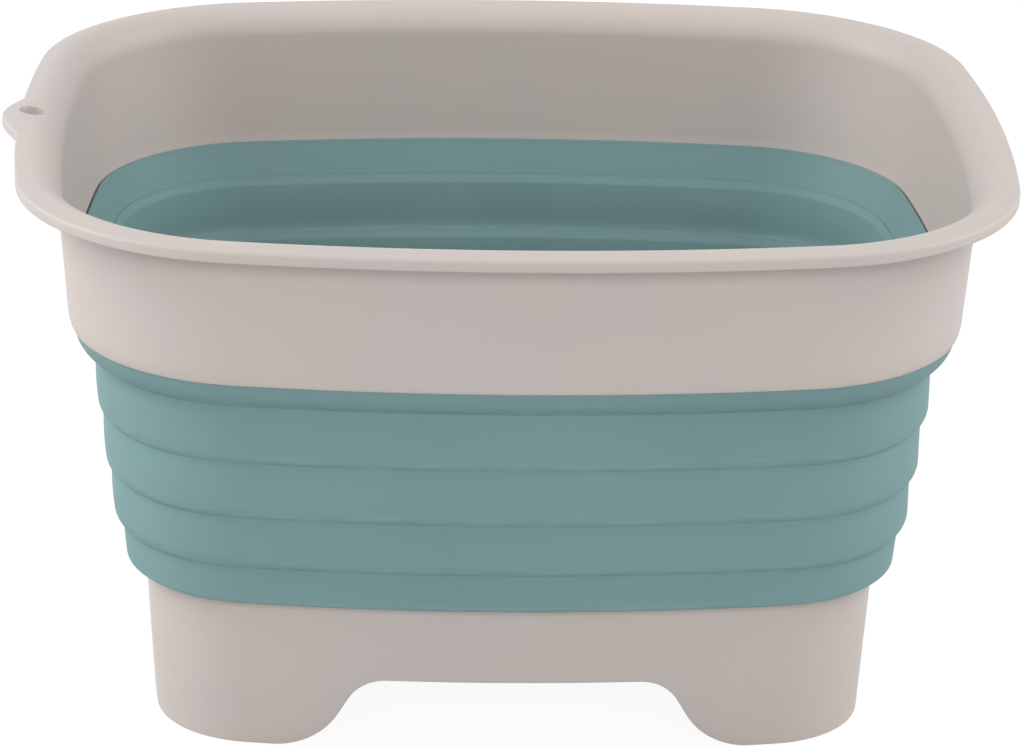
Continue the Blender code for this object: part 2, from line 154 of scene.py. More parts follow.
def edit(piece):
    """Makes a piece the active one and opens it in edit mode."""
    bpy.context.view_layer.objects.active = piece
    piece.select_set(True)
    bpy.ops.object.mode_set(mode="EDIT")


def carry_round(name, section, closed=True, steps=(SIDE_STEPS, CORNER_STEPS, SIDE_STEPS)):
    """Spins a section of inset and height round the outline's first quarter and mirrors it twice."""
    bpy.ops.object.select_all(action="DESELECT")
    bpy.ops.mesh.primitive_circle_add(vertices=len(section), radius=SHELL_WALL, location=(tub_x, 0, 0))
    piece = bpy.context.object
    piece.name = name
    piece.data.name = name
    for vertex, (inset, height) in zip(piece.data.vertices, section):
        vertex.co = (0, half_width - inset, height)
    if not closed:
        ends = {0, len(section) - 1}
        for edge in piece.data.edges:
            edge.select = set(edge.vertices) == ends
        for vertex in piece.data.vertices:
            vertex.select = False
        bpy.context.tool_settings.mesh_select_mode = (False, True, False)
        edit(piece)
        bpy.ops.mesh.delete(type="EDGE")
        bpy.ops.object.mode_set(mode="OBJECT")
    bpy.context.tool_settings.mesh_select_mode = (True, False, False)
    edit(piece)
    bpy.ops.mesh.select_all(action="SELECT")
    for centre, angle, count in outline_turns(*steps):
        bpy.ops.mesh.spin(steps=count, angle=angle, center=centre, axis=(0, 0, 1))
    bpy.ops.object.mode_set(mode="OBJECT")
    mirror = piece.modifiers.new("quarters", "MIRROR")
    mirror.use_axis = (True, True, False)
    mirror.merge_threshold = MIRROR_MERGE_GAP
    bpy.ops.object.modifier_apply(modifier=mirror.name)
    edit(piece)
    bpy.ops.mesh.select_all(action="SELECT")
    bpy.ops.mesh.remove_doubles(threshold=MERGE_GAP)
    if not closed:
        bpy.ops.mesh.fill_holes(sides=0)
        bpy.ops.mesh.select_all(action="SELECT")
    bpy.ops.mesh.normals_make_consistent(inside=False)
    bpy.ops.object.mode_set(mode="OBJECT")
    bpy.ops.object.transform_apply(location=True, rotation=True, scale=True)
    return piece


def combine(piece, tool, operation):
    """Cuts a piece with a tool, or joins the tool to it, and takes the tool away."""
    bpy.ops.object.select_all(action="DESELECT")
    bpy.context.view_layer.objects.active = piece
    piece.select_set(True)
    modifier = piece.modifiers.new(tool.name, "BOOLEAN")
    modifier.operation = operation
    modifier.solver = "EXACT"
    modifier.object = tool
    bpy.ops.object.modifier_apply(modifier=modifier.name)
    bpy.data.objects.remove(tool, do_unlink=True)


def round_edges(piece, wanted, width, segments=MOUTH_STEPS):
    """Bevels the edges whose two ends pass a test."""
    points = [vertex.co for vertex in piece.data.vertices]
    for item in list(piece.data.vertices) + list(piece.data.polygons):
        item.select = False
    for edge in piece.data.edges:
        edge.select = wanted(*[points[index] for index in edge.vertices])
    bpy.ops.object.select_all(action="DESELECT")
    bpy.context.tool_settings.mesh_select_mode = (False, True, False)
    edit(piece)
    bpy.ops.mesh.bevel(offset=width, segments=segments, affect="EDGES", clamp_overlap=True)
    bpy.ops.object.mode_set(mode="OBJECT")
    bpy.context.tool_settings.mesh_select_mode = (True, False, False)


MIX_FIRST, MIX_SECOND, MIX_RESULT = 6, 7, 2
HEIGHT_RESULT = 2


class Socket:
    """An output of a material's node. Sums made with it add Math nodes."""

    def __init__(self, tree, output):
        self.tree = tree
        self.output = output

    def node(self, kind, settings, sockets, result=0):
        """Adds a node: its settings first, then the values or links of its sockets."""
        made = self.tree.nodes.new(kind)
        for name, value in settings.items():
            setattr(made, name, value)
        for name, value in sockets.items():
            if isinstance(value, Socket):
                self.tree.links.new(value.output, made.inputs[name])
            else:
                made.inputs[name].default_value = value
        return Socket(self.tree, made.outputs[result])

    def sum_node(self, operation, first, second):
        """A Math node on two sockets or numbers."""
        return self.node("ShaderNodeMath", {"operation": operation}, {0: first, 1: second})

    def __add__(self, other):
        return self.sum_node("ADD", self, other)

    def __radd__(self, other):
        return self.sum_node("ADD", other, self)

    def __sub__(self, other):
        return self.sum_node("SUBTRACT", self, other)

    def __rsub__(self, other):
        return self.sum_node("SUBTRACT", other, self)

    def __mul__(self, other):
        return self.sum_node("MULTIPLY", self, other)

    def __rmul__(self, other):
        return self.sum_node("MULTIPLY", other, self)

    def noise(self, scale, detail):
        """Noise of a number of lumps to the metre, between 0 and 1."""
        return self.node("ShaderNodeTexNoise", {}, {"Vector": self, "Scale": scale, "Detail": detail})

    def stretched(self, x, y, z):
        """The same coordinates with each axis scaled, which draws noise out into streaks."""
        return self.node("ShaderNodeMapping", {}, {"Vector": self, "Scale": (x, y, z)})

    def height(self):
        """The height over the ground, in metres."""
        return self.node("ShaderNodeSeparateXYZ", {}, {"Vector": self}, HEIGHT_RESULT)

    def step(self, low, high):
        """0 up to the low value, 1 from the high one, and a smooth rise between them."""
        rise = {"Value": self, "From Min": low, "From Max": high}
        return self.node("ShaderNodeMapRange", {"interpolation_type": "SMOOTHSTEP"}, rise)

    def blend(self, first, second):
        """A mix of two colours, with this socket as the share of the second."""
        sockets = {0: self, MIX_FIRST: first, MIX_SECOND: second}
        return self.node("ShaderNodeMix", {"data_type": "RGBA"}, sockets, MIX_RESULT)


def start_material(name):
    """A material with its shader and its coordinates, in metres."""
    material = bpy.data.materials.new(name)
    material.use_nodes = True
    tree = material.node_tree
    shader = tree.nodes["Principled BSDF"]
    place = Socket(tree, tree.nodes.new("ShaderNodeTexCoord").outputs["Object"])
    return material, shader, place


def feed(shader, colour, roughness, relief):
    """Links a shader's colour and roughness, and a relief given in metres as its bump."""
    tree = colour.tree
    bump = relief.node("ShaderNodeBump", {}, {"Strength": 1.0, "Distance": 1.0, "Height": relief})
    tree.links.new(colour.output, shader.inputs["Base Color"])
    tree.links.new(roughness.output, shader.inputs["Roughness"])
    tree.links.new(bump.output, shader.inputs["Normal"])


BEIGE = (0.452, 0.409, 0.390, 1.0)
BEIGE_WARM = (0.466, 0.413, 0.381, 1.0)
BEIGE_WORN = (0.500, 0.460, 0.440, 1.0)
PLASTIC_CLOUD = (14, 3.0)
PLASTIC_CLOUD_SHARES = (0.35, 0.65)
PLASTIC_SPECK = (420, 1.0)
PLASTIC_SPECK_SHARES = (0.66, 0.74)
PLASTIC_STREAK = (260, 260, 9)
PLASTIC_STREAK_NOISE = (1.0, 3.0)
PLASTIC_SCRATCH = (40, 900, 40)
PLASTIC_SCRATCH_NOISE = (1.0, 2.0)
PLASTIC_SCRATCH_SHARES = (0.70, 0.76)
PLASTIC_WEAR = (160, 4.0)
PLASTIC_WEAR_SHARES = (0.50, 0.72)
PLASTIC_GRAIN = (1900, 2.0)
PLASTIC_SINK = (22, 1.0)
WORN_COLOUR_SHARE = 0.35
SPECK_COLOUR_SHARE = 0.06
SCRATCH_COLOUR_SHARE = 0.05
PLASTIC_ROUGHNESS = 0.44
CLOUD_ROUGHNESS = 0.06
STREAK_ROUGHNESS = 0.05
WORN_ROUGHNESS = 0.12
PLASTIC_GRAIN_DEPTH = 0.000009
PLASTIC_STREAK_DEPTH = 0.000004
PLASTIC_SINK_DEPTH = 0.00012
PLASTIC_SCRATCH_DEPTH = 0.000006
PLASTIC_IOR = 1.49
PLASTIC_GLOSS_SHARE = 0.28


def beige_plastic(name, worn_from, worn_to):
    """Satin polypropylene, rubbed paler where its height runs from one level to another."""
    material, shader, place = start_material(name)
    cloud = place.noise(*PLASTIC_CLOUD)
    speck = place.noise(*PLASTIC_SPECK).step(*PLASTIC_SPECK_SHARES)
    streak = place.stretched(*PLASTIC_STREAK).noise(*PLASTIC_STREAK_NOISE)
    scratch = place.stretched(*PLASTIC_SCRATCH).noise(*PLASTIC_SCRATCH_NOISE).step(*PLASTIC_SCRATCH_SHARES)
    rubbed = place.height().step(worn_from, worn_to)
    worn = rubbed * place.noise(*PLASTIC_WEAR).step(*PLASTIC_WEAR_SHARES)
    plain = cloud.step(*PLASTIC_CLOUD_SHARES).blend(BEIGE, BEIGE_WARM)
    paler = worn * WORN_COLOUR_SHARE + speck * SPECK_COLOUR_SHARE + scratch * SCRATCH_COLOUR_SHARE
    roughness = PLASTIC_ROUGHNESS + cloud * CLOUD_ROUGHNESS
    roughness = roughness + streak * STREAK_ROUGHNESS + worn * WORN_ROUGHNESS
    relief = place.noise(*PLASTIC_GRAIN) * PLASTIC_GRAIN_DEPTH + streak * PLASTIC_STREAK_DEPTH
    relief = relief + place.noise(*PLASTIC_SINK) * PLASTIC_SINK_DEPTH - scratch * PLASTIC_SCRATCH_DEPTH
    feed(shader, paler.blend(plain, BEIGE_WORN), roughness, relief)
    shader.inputs["IOR"].default_value = PLASTIC_IOR
    shader.inputs["Specular IOR Level"].default_value = PLASTIC_GLOSS_SHARE
    return material


def dress(piece, material, body, node, smooth=SMOOTH_ANGLE):
    """Smooths a finished piece, gives it its material and puts it in its CAD node's place."""
    bpy.ops.object.select_all(action="DESELECT")
    bpy.context.view_layer.objects.active = piece
    piece.select_set(True)
    bpy.ops.object.shade_smooth_by_angle(angle=math.radians(smooth))
    piece.data.materials.clear()
    piece.data.materials.append(material)
    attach(piece, body)
    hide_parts(node)


def shell_section():
    """Inside from the foot up, over the flare and the lip, and down the outside."""
    tuck = SHELL_EDGE_INSET - SHELL_LOW_INSET
    tuck_top = shell_foot + SHELL_TUCK_HEIGHT
    flare_inset = SHELL_INSET + SHELL_WALL - FLARE_RADIUS
    flare_height = crown - FLARE_RADIUS
    under_radius = FLARE_RADIUS - SHELL_WALL
    edge = FLANGE_EDGE_RADIUS
    edge_height = crown - FLANGE_FALL - edge
    lip_foot = crown - LIP_DEPTH
    turn = LIP_ROUNDING
    under_flange = crown - SHELL_WALL
    tucked = (tuck, SHELL_TUCK_HEIGHT)
    flared = (FLARE_RADIUS, FLARE_RADIUS)
    under = (under_radius, under_radius)
    section = arc(SHELL_EDGE_INSET + SHELL_WALL, tuck_top, *tucked, TUCK_END_ANGLE, OUTWARDS, TUCK_STEPS)
    section += arc(flare_inset, flare_height, *flared, INWARDS, UP, FLARE_STEPS)
    section += arc(edge, edge_height, edge, edge, UP, OUTWARDS, EDGE_STEPS)
    section += arc(turn, lip_foot + turn, turn, turn, OUTWARDS, DOWN, LIP_STEPS)
    section += arc(LIP_THICKNESS - turn, lip_foot + turn, turn, turn, DOWN, FULL_TURN, LIP_STEPS)
    section += arc(LIP_THICKNESS + edge, edge_height - edge, edge, edge, OUTWARDS, UP, LIP_STEPS)
    section += arc(flare_inset, under_flange - under_radius, *under, UP, INWARDS, UNDER_FLARE_STEPS)
    section += arc(SHELL_EDGE_INSET, tuck_top, *tucked, OUTWARDS, TUCK_END_ANGLE, TUCK_STEPS)
    rounded = (SHELL_WALL / 2, SHELL_EDGE_ROUNDING)
    middle = SHELL_EDGE_INSET + SHELL_WALL / 2
    round_height = shell_foot + SHELL_EDGE_ROUNDING
    section += arc(middle, round_height, *rounded, EDGE_START_ANGLE, EDGE_END_ANGLE, EDGE_STEPS)
    return section


def eased(share):
    """A share between 0 and 1 that starts and ends softly."""
    return share * share * (3 - 2 * share)


def swell_tab(piece):
    """Moves the edge out and a little up at the end, most in the middle and less towards the flare."""
    end = tub_x - RIM_LENGTH / 2
    for vertex in piece.data.vertices:
        share = abs(vertex.co.y) / TAB_HALF_WIDTH
        inset = vertex.co.x - end
        if share < 1 and inset < TAB_END_INSET:
            fade = min((TAB_END_INSET - inset) / (TAB_END_INSET - TAB_FULL_INSET), 1)
            swell = (1 - share**2) ** TAB_FULLNESS * eased(fade)
            vertex.co.x -= TAB_REACH * swell
            vertex.co.z += TAB_LIFT * swell


rim = carry_round("rim", shell_section(), steps=(SIDE_STEPS, CORNER_STEPS, TAB_SIDE_STEPS))
swell_tab(rim)
hole_x = tub_x - RIM_LENGTH / 2 + HANG_HOLE_INSET
collar_top = crown - SHELL_WALL / 2 - FLANGE_FALL / 2
collar_foot = crown - LIP_DEPTH
bpy.ops.object.select_all(action="DESELECT")
bpy.ops.mesh.primitive_cylinder_add(
    vertices=ROUND_STEPS,
    radius=HANG_HOLE_RADIUS + HANG_HOLE_WALL,
    depth=collar_top - collar_foot,
    location=(hole_x, 0, (collar_top + collar_foot) / 2),
)
combine(rim, bpy.context.object, "UNION")
bpy.ops.object.select_all(action="DESELECT")
bpy.ops.mesh.primitive_cylinder_add(
    vertices=ROUND_STEPS,
    radius=HANG_HOLE_RADIUS,
    depth=HANG_HOLE_CUT_DEPTH,
    location=(hole_x, 0, crown),
)
combine(rim, bpy.context.object, "DIFFERENCE")


def on_hole(*ends):
    """True for the edges round the hole's two mouths and not for those down its wall."""
    off_wall = [abs(math.hypot(end.x - hole_x, end.y) - HANG_HOLE_RADIUS) for end in ends]
    return max(off_wall) < NEAR_GAP and abs(ends[0].z - ends[1].z) < MOUTH_EDGE_RISE


round_edges(rim, on_hole, HANG_HOLE_ROUNDING)
rim_plastic = beige_plastic("rim_plastic", crown - RIM_WEAR_DEPTH, crown)
dress(rim, rim_plastic, "rim", "rim_shell")


# Upper cuff
# The top of the flexible wall, one moulding of greyed teal rubber. It is bonded inside the rim
# shell's lower edge and turns in below it to carry the first fold.
CUFF_CONTACT = 0.00003
FOLD_CONTACT = 0.00004
BAND_WALL = 0.0018
GRIP_THICKNESS = 0.0012
GRIP_TIP = 0.0013
GRIP_SLIT = 0.0008
ROLL_STEPS = 16
LEDGE_STEPS = 12
TIP_STEPS = 8
COLLAR_STRAIGHT_SHARE = 1.0
SLOPE_STEP = 0.0002
# The collar's rubber is painted 5 % darker: painted shade for its place under the rim shell.
COLLAR_PAINTED_SHADE_SHARE = 0.95
COLLAR_TURN = math.radians(52)
BAND_TURN = math.radians(62)

cuff_low, cuff_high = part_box("upper_cuff")
band_boxes = [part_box("wall_band_" + str(number)) for number in (1, 2, 3, 4)]
band_insets = [half_width - high.y for low, high in band_boxes]


TEAL = (0.139, 0.242, 0.248)
TEAL_PALE = (0.150, 0.254, 0.261)
# Pale colour for dust and creases. At the folds it is part stress whitening, part painted light that lifts
# the shade under each roll.
TEAL_DUST_CREASE_AND_PAINTED_LIGHT = (0.186, 0.294, 0.303)
RUBBER_CLOUD = (11, 4.0)
RUBBER_CLOUD_SHARES = (0.30, 0.70)
RUBBER_DUST = (700, 1.0)
RUBBER_DUST_SHARES = (0.68, 0.76)
RUBBER_CREASE = (60, 60, 500)
RUBBER_CREASE_NOISE = (1.0, 2.0)
RUBBER_CREASE_SHARES = (0.35, 0.75)
CREASE_REACH_SQUARED = 0.000012
RUBBER_GRAIN = (1500, 3.0)
RUBBER_FLOW = (12, 12, 90)
RUBBER_FLOW_NOISE = (1.0, 2.0)
RUBBER_WAVE = (26, 1.0)
CREASE_WHITENING_AND_PAINTED_LIGHT_SHARE = 0.60
DUST_COLOUR_SHARE = 0.10
RUBBER_ROUGHNESS = 0.56
RUBBER_CLOUD_ROUGHNESS = 0.10
CREASE_ROUGHNESS = 0.06
RUBBER_GRAIN_DEPTH = 0.000016
RUBBER_FLOW_DEPTH = 0.00010
RUBBER_WAVE_DEPTH = 0.00022
RUBBER_IOR = 1.45
RUBBER_GLOSS_SHARE = 0.35


def teal_rubber(name, crease, painted_shading_share=1.0):
    """Matt thermoplastic rubber, paler near one fold height (part stress whitening, part painted light that
    lifts the fold's shade) and scaled by a painted shading share.
    """
    material, shader, place = start_material(name)
    # The whole colour is scaled by a share: below 1 it is painted shade, above 1 painted light, on copies of
    # one rubber.
    even, pale, worn = [
        (*[channel * painted_shading_share for channel in colour], 1.0) for colour in (TEAL, TEAL_PALE, TEAL_DUST_CREASE_AND_PAINTED_LIGHT)
    ]
    cloud = place.noise(*RUBBER_CLOUD)
    dust = place.noise(*RUBBER_DUST).step(*RUBBER_DUST_SHARES)
    rise = place.height() - crease
    near = (rise * rise).step(CREASE_REACH_SQUARED, 0)
    crease_and_painted_light = near * place.stretched(*RUBBER_CREASE).noise(*RUBBER_CREASE_NOISE).step(*RUBBER_CREASE_SHARES)
    plain = cloud.step(*RUBBER_CLOUD_SHARES).blend(even, pale)
    # Near the fold height the colour pales towards the crease colour: real whitening plus painted light
    # against the shade in the fold.
    colour = (crease_and_painted_light * CREASE_WHITENING_AND_PAINTED_LIGHT_SHARE + dust * DUST_COLOUR_SHARE).blend(plain, worn)
    roughness = RUBBER_ROUGHNESS + cloud * RUBBER_CLOUD_ROUGHNESS + crease_and_painted_light * CREASE_ROUGHNESS
    flow = place.stretched(*RUBBER_FLOW).noise(*RUBBER_FLOW_NOISE)
    relief = place.noise(*RUBBER_GRAIN) * RUBBER_GRAIN_DEPTH + flow * RUBBER_FLOW_DEPTH
    relief = relief + place.noise(*RUBBER_WAVE) * RUBBER_WAVE_DEPTH
    feed(shader, colour, roughness, relief)
    shader.inputs["IOR"].default_value = RUBBER_IOR
    shader.inputs["Specular IOR Level"].default_value = RUBBER_GLOSS_SHARE
    return material


def shell_inner(height):
    """Inset of the rim shell's inner face over the height of its tucked foot."""
    tuck = SHELL_EDGE_INSET - SHELL_LOW_INSET
    drop = min(max((shell_foot + SHELL_TUCK_HEIGHT - height) / SHELL_TUCK_HEIGHT, 0), 1)
    return SHELL_EDGE_INSET + SHELL_WALL - tuck * math.sqrt(1 - drop**2)


def roll_in(inset, height, reach, depth, turn):
    """Points down the outside of a fold: an elliptic arc that stops before it is level."""
    points = []
    for step in range(ROLL_STEPS + 1):
        angle = turn * step / ROLL_STEPS
        inwards = reach * (1 - math.cos(angle)) / (1 - math.cos(turn))
        points.append((inset + inwards, height - depth * math.sin(angle) / math.sin(turn)))
    return points


def ledge(top_inset, top, foot_inset, foot, straight_share):
    """Points down a soft slope of the wall's inner face, which leans most halfway."""
    points = []
    for step in range(LEDGE_STEPS + 1):
        share = step / LEDGE_STEPS
        rounded = eased(share)
        reach = rounded + (share - rounded) * straight_share
        points.append((top_inset + (foot_inset - top_inset) * reach, top + (foot - top) * share))
    return points


def upper_cuff_section():
    """Down the outside, in under the fold, up the inside and round the grip's rounded top."""
    under_shell = shell_foot - CUFF_CONTACT
    start = SHELL_EDGE_INSET + CUFF_CONTACT
    fold_edge = band_insets[0] - FOLD_CONTACT
    depth = under_shell - cuff_low.z
    section = roll_in(start, under_shell, fold_edge - start, depth, COLLAR_TURN)
    grip_top = cuff_high.z
    tip = GRIP_TIP / 2
    top_inset = shell_inner(grip_top) + tip + GRIP_SLIT
    slope_foot = cuff_low.z + BAND_WALL - SLOPE_STEP
    slope = ledge(top_inset + tip, grip_top - tip, fold_edge, slope_foot, COLLAR_STRAIGHT_SHARE)
    section += slope[::-1]
    section += arc(top_inset, grip_top - tip, tip, tip, INWARDS, OUTWARDS, TIP_STEPS)
    half_grip = (shell_foot + grip_top) / 2
    section.append((shell_inner(half_grip) + GRIP_SLIT, half_grip))
    section.append((shell_inner(shell_foot) + CUFF_CONTACT, shell_foot))
    return section


upper_cuff = carry_round("collar", upper_cuff_section())
collar_rubber = teal_rubber("collar_rubber", cuff_low.z, COLLAR_PAINTED_SHADE_SHARE)
dress(upper_cuff, collar_rubber, "rim", "upper_cuff")


# Wall bands
# The four rings of the same rubber moulding, each a little smaller than the one above. Each stands
# upright and rolls in at its foot to meet the next, so that it can slide down round it.
FOLD_HEIGHTS = (0.0056, 0.0056, 0.0056, 0.0037)
BAND_4_DRAFT = 0.0014
BAND_TOP_EDGE = 0.0002
BAND_LEDGE_HEIGHT = 0.0036
# Colour scales for the bands: the second band is painted 1 % lighter, which is painted light, not a different
# rubber.
BAND_PAINTED_SHADING_SHARES = (1.0, 1.01, 1.0, 1.0)
BAND_STRAIGHT_SHARE = 0.70
BAND_OUTER_ROUNDING = 0.00004
BAND_EDGE_STEPS = 3
BAND_FOLD_STEPS = 12

base_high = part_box("base_shell")[1]
base_inset = half_width - base_high.y


def band_section(top, foot, inset, draft, next_inset, fold):
    """Down the outside, in under the fold, up the inside and over the rounded top."""
    fold_edge = next_inset - FOLD_CONTACT
    reach = fold_edge - inset - draft
    small = BAND_OUTER_ROUNDING
    section = arc(inset + small, top - small, small, small, UP, OUTWARDS, BAND_EDGE_STEPS)
    section += roll_in(inset + draft, foot + fold, reach, fold, BAND_TURN)
    inner = (reach - BAND_WALL, fold)
    section += arc(fold_edge, foot + fold + BAND_WALL, *inner, DOWN, OUTWARDS, BAND_FOLD_STEPS)
    ledge_foot = top - BAND_LEDGE_HEIGHT
    slope = ledge(inset + BAND_TOP_EDGE, top, inset + BAND_WALL, ledge_foot, BAND_STRAIGHT_SHARE)
    section += slope[::-1]
    return section


for index, (low, high) in enumerate(band_boxes):
    number = str(index + 1)
    last = index == len(band_boxes) - 1
    following = base_inset if last else band_insets[index + 1]
    draft = BAND_4_DRAFT if last else 0
    section = band_section(high.z, low.z, band_insets[index], draft, following, FOLD_HEIGHTS[index])
    band = carry_round("band_" + number, section)
    rubber = teal_rubber("band_" + number + "_rubber", low.z + BAND_WALL, BAND_PAINTED_SHADING_SHARES[index])
    dress(band, rubber, "band_" + number, "wall_band_" + number)


# Lower cuff
# The foot of the flexible wall. It hooks over the base's upper edge and is bonded down its inside.
BASE_WALL = 0.0024
BASE_DRAFT = 0.0034
CUFF_TOP_ROUNDING = 0.0008
CUFF_TOP_STEPS = 6

lower_low, lower_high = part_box("lower_cuff")
base_top = base_high.z


def base_outer(height):
    """Inset of the base's outer face at one height."""
    return base_inset + BASE_DRAFT * (base_top - height) / base_top


def lower_cuff_section():
    """Over the base's edge from outside and down its inner face."""
    contact = CUFF_CONTACT
    turn = CUFF_TOP_ROUNDING
    seat = base_outer(base_top) + BASE_WALL + contact
    seat_foot = base_outer(lower_low.z) + BASE_WALL + contact
    section = [(base_inset, base_top + contact), (base_inset, lower_high.z - contact)]
    top_inset = seat + GRIP_THICKNESS - turn
    section += arc(top_inset, lower_high.z - turn, turn, turn, UP, INWARDS, CUFF_TOP_STEPS)
    tip = GRIP_THICKNESS / 2
    section += arc(seat_foot + tip, lower_low.z + tip, tip, tip, INWARDS, -OUTWARDS, TIP_STEPS)
    section.append((seat, base_top + contact))
    return section


lower_cuff = carry_round("foot_cuff", lower_cuff_section())
dress(lower_cuff, teal_rubber("foot_cuff_rubber", base_top), "base", "lower_cuff")


# Base shell
# The second beige moulding: a tray whose wall runs on down as a skirt. Wide arches in all four sides
# leave a rounded foot at each corner. Thin ribs and a round boss stiffen the floor from below.
FLOOR_TOP = 0.0370
FLOOR_THICKNESS = 0.0025
FLOOR_FILLET = 0.0120
UNDER_FILLET = 0.0015
FOOT_ROUNDING = 0.0007
ARCH_HEIGHT = 0.0283
ARCH_LONG_FLAT = 0.0930
ARCH_SHORT_FLAT = 0.0480
ARCH_SLOPE = math.radians(60)
ARCH_TOP_RADIUS = 0.0161
ARCH_FOOT_RADIUS = 0.0280
SKIRT_ROWS = (0.003, 0.008, 0.014, 0.020, 0.026)
BASE_STEPS = (84, 30, 60)
RIB_THICKNESS = 0.0018
RIB_CLEARANCE = 0.0004
RIB_SPACING = 0.0700
DRAIN_HOLE_RADIUS = 0.0170
SUMP_RADIUS = 0.0276
SUMP_DEPTH = 0.0035
OVERRUN = 0.004
FLOOR_FILLET_STEPS = 16
SMALL_ROUND_STEPS = 5
FOOT_WEAR_HEIGHT = 0.003
CRISP_SMOOTH_ANGLE = 35

floor_foot = FLOOR_TOP - FLOOR_THICKNESS
sump_floor = FLOOR_TOP - SUMP_DEPTH


def base_section():
    """From the tray's floor up its inside, over the edge, down the skirt and up to the floor's underside."""
    fillet_top = FLOOR_TOP + FLOOR_FILLET
    corner = base_outer(fillet_top) + BASE_WALL + FLOOR_FILLET
    turn = FOOT_ROUNDING
    outer = base_outer(0)
    fillet = (FLOOR_FILLET, FLOOR_FILLET)
    section = arc(corner, fillet_top, *fillet, DOWN, OUTWARDS, FLOOR_FILLET_STEPS)
    section.append((base_outer(base_top) + BASE_WALL, base_top))
    section.append((base_outer(base_top), base_top))
    section += [(base_outer(row), row) for row in reversed(SKIRT_ROWS)]
    section += arc(outer + turn, turn, turn, turn, OUTWARDS, DOWN, SMALL_ROUND_STEPS)
    section += arc(outer + BASE_WALL - turn, turn, turn, turn, DOWN, FULL_TURN, SMALL_ROUND_STEPS)
    section += [(base_outer(row) + BASE_WALL, row) for row in SKIRT_ROWS]
    under = base_outer(floor_foot) + BASE_WALL + UNDER_FILLET
    fillet = (UNDER_FILLET, UNDER_FILLET)
    section += arc(under, floor_foot - UNDER_FILLET, *fillet, OUTWARDS, UP, SMALL_ROUND_STEPS)
    return section


def arch_level(across, flat):
    """Height of an arch above the ground at a distance from its middle."""
    flat_end = flat / 2
    slope_start = flat_end + ARCH_TOP_RADIUS * math.sin(ARCH_SLOPE)
    slope_height = ARCH_HEIGHT - ARCH_TOP_RADIUS * (1 - math.cos(ARCH_SLOPE))
    foot_height = ARCH_FOOT_RADIUS * (1 - math.cos(ARCH_SLOPE))
    slope_end = slope_start + (slope_height - foot_height) / math.tan(ARCH_SLOPE)
    foot_end = slope_end + ARCH_FOOT_RADIUS * math.sin(ARCH_SLOPE)
    if across <= flat_end:
        return ARCH_HEIGHT
    if across <= slope_start:
        return ARCH_HEIGHT - ARCH_TOP_RADIUS + math.sqrt(ARCH_TOP_RADIUS**2 - (across - flat_end) ** 2)
    if across <= slope_end:
        return slope_height - (across - slope_start) * math.tan(ARCH_SLOPE)
    if across <= foot_end:
        return ARCH_FOOT_RADIUS - math.sqrt(ARCH_FOOT_RADIUS**2 - (foot_end - across) ** 2)
    return 0


def raise_arches(piece):
    """Lifts the skirt's lower edge to the arches and keeps it on the drafted wall as it rises."""
    (long_centre, _, _), (corner, _, _), (short_centre, _, _) = outline_turns(*BASE_STEPS)
    edge = 2 * FOOT_ROUNDING
    ceiling = floor_foot - UNDER_FILLET
    for vertex in piece.data.vertices:
        across = abs(vertex.co.x - tub_x)
        aside = abs(vertex.co.y)
        if vertex.co.z > ceiling - CUFF_CONTACT:
            continue
        on_long = aside > corner.y and across < corner.x - tub_x + ARCH_HEIGHT / 2
        if on_long:
            level = arch_level(across, ARCH_LONG_FLAT)
            centre = Vector((tub_x, math.copysign(long_centre.y, -vertex.co.y), 0))
        else:
            level = arch_level(aside, ARCH_SHORT_FLAT)
            away = short_centre.x - tub_x
            centre = Vector((tub_x + math.copysign(away, tub_x - vertex.co.x), 0, 0))
        if not level:
            continue
        height = vertex.co.z
        if height <= edge:
            raised = level + height
        else:
            raised = level + edge + (height - edge) * (ceiling - level - edge) / (ceiling - edge)
        outwards = vertex.co - centre
        outwards.z = 0
        vertex.co += outwards.normalized() * BASE_DRAFT * (raised - height) / base_top
        vertex.co.z = raised


def add_block(low, high):
    """A cube primitive stretched between two corners."""
    bpy.ops.object.select_all(action="DESELECT")
    bpy.ops.mesh.primitive_cube_add(size=1, location=(low + high) / 2, scale=high - low)
    bpy.ops.object.transform_apply(location=True, rotation=True, scale=True)
    return bpy.context.object


def add_turned(name, profile):
    """A profile of radius and height spun once round the tub's centre line."""
    bpy.ops.object.select_all(action="DESELECT")
    bpy.ops.mesh.primitive_circle_add(vertices=len(profile), radius=SUMP_RADIUS, location=(tub_x, 0, 0))
    piece = bpy.context.object
    piece.name = name
    piece.data.name = name
    for vertex, (radius, height) in zip(piece.data.vertices, profile):
        vertex.co = (radius, 0, height)
    edit(piece)
    bpy.ops.mesh.select_all(action="SELECT")
    bpy.ops.mesh.spin(steps=ROUND_STEPS, angle=math.tau, center=(tub_x, 0, 0), axis=(0, 0, 1))
    bpy.ops.mesh.select_all(action="SELECT")
    bpy.ops.mesh.remove_doubles(threshold=MERGE_GAP)
    bpy.ops.mesh.normals_make_consistent(inside=False)
    bpy.ops.object.mode_set(mode="OBJECT")
    bpy.ops.object.transform_apply(location=True, rotation=True, scale=True)
    return piece


